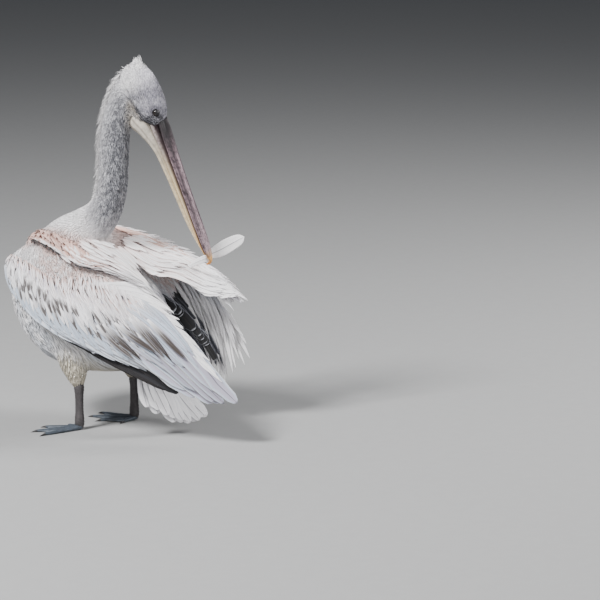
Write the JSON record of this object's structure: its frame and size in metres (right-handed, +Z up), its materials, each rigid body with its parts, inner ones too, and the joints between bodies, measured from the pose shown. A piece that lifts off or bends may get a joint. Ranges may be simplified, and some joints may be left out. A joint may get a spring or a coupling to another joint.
{
  "type": "pelican",
  "caption": "Life-size standing pelican, still, neck raised in an S and head turned back, preening a long white feather of its half-open far wing held in the bill tip",
  "frame": {"origin": "on the ground, under the middle of the bounding box; the soles are at z = 0", "axes": "+X is the bird's left, -Y is the way its body faces, +Z is up"},
  "size_m": [0.3581, 0.5692, 0.817],
  "materials": {
    "down": "soft contour feathers",
    "speckled": "short speckled neck down",
    "rust": "pinkish mantle feathers",
    "covert": "long narrow wing coverts",
    "blue_grey": "blue-grey flight feathers",
    "white": "white flight and tail feathers",
    "dark": "near-black primaries",
    "cream": "creamy thigh down",
    "mandible_upper": "satin horn",
    "mandible_lower": "satin horn",
    "pouch": "bare thin skin",
    "nail": "smooth horn",
    "iris": "wet eye",
    "leg": "scaled slate skin",
    "claw": "dark horn"
  },
  "bodies": {
    "root": {"trunk": "down", "neck_lower": "down", "neck_middle": "speckled", "neck_upper": "speckled", "head": "speckled", "crest": "white", "eye_left": "iris", "eye_right": "iris", "bill_upper": "mandible_upper", "bill_nail": "nail", "bill_lower": "mandible_lower", "pouch": "pouch", "held_feather": "white", "scapulars_left": "rust", "scapulars_right": "white", "wing_left_coverts": "covert", "wing_left_tertials": "white", "wing_left_secondaries": "blue_grey", "wing_left_primaries": "dark", "wing_right_coverts": "covert", "wing_right_tertials": "white", "wing_right_secondaries": "white", "wing_right_primaries": "dark", "tail": "white", "thigh_left": "cream", "thigh_right": "cream", "shank_left": "leg", "shank_right": "leg", "foot_left": "leg", "foot_right": "leg", "claw_left_hallux": "claw", "claw_left_inner": "claw", "claw_left_middle": "claw", "claw_left_outer": "claw", "claw_right_hallux": "claw", "claw_right_inner": "claw", "claw_right_middle": "claw", "claw_right_outer": "claw"}
  },
  "joints": []
}
